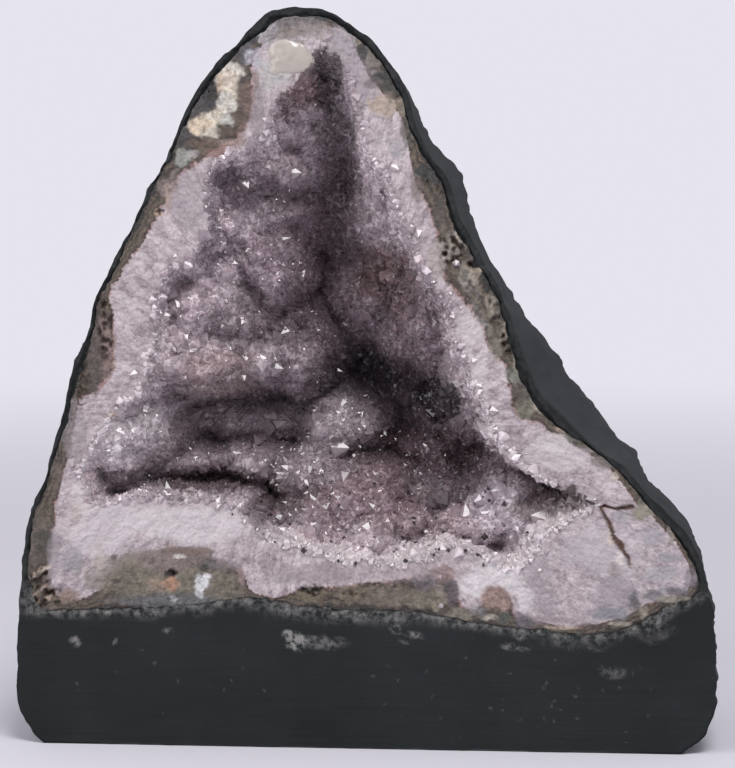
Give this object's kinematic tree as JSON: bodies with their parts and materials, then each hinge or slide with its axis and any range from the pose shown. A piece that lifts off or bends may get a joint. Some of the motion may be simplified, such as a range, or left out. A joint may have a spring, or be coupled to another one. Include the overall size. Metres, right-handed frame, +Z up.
{
  "type": "amethyst geode",
  "caption": "Half of a crystal-lined geode, sawn open at the front, coated with dark cement at the back and standing on its squared flat foot.",
  "frame": {"origin": "middle of the bounding box at its bottom, on the flat underside of the foot", "axes": "+Z up along the longest side, towards the apex; -Y out of the sawn open face; +X to the viewer's right"},
  "size_m": [0.2345, 0.116, 0.2462],
  "materials": {
    "cement": "cast and trowelled dark grey cement, sawn flat at the front",
    "agate_and_quartz": "sawn and roughly polished banded agate and milky quartz",
    "amethyst": "natural crystal faces, clear to smoky lilac"
  },
  "bodies": {
    "root": {"cement_casing": "cement", "crystal_lining": "agate_and_quartz"}
  },
  "joints": []
}
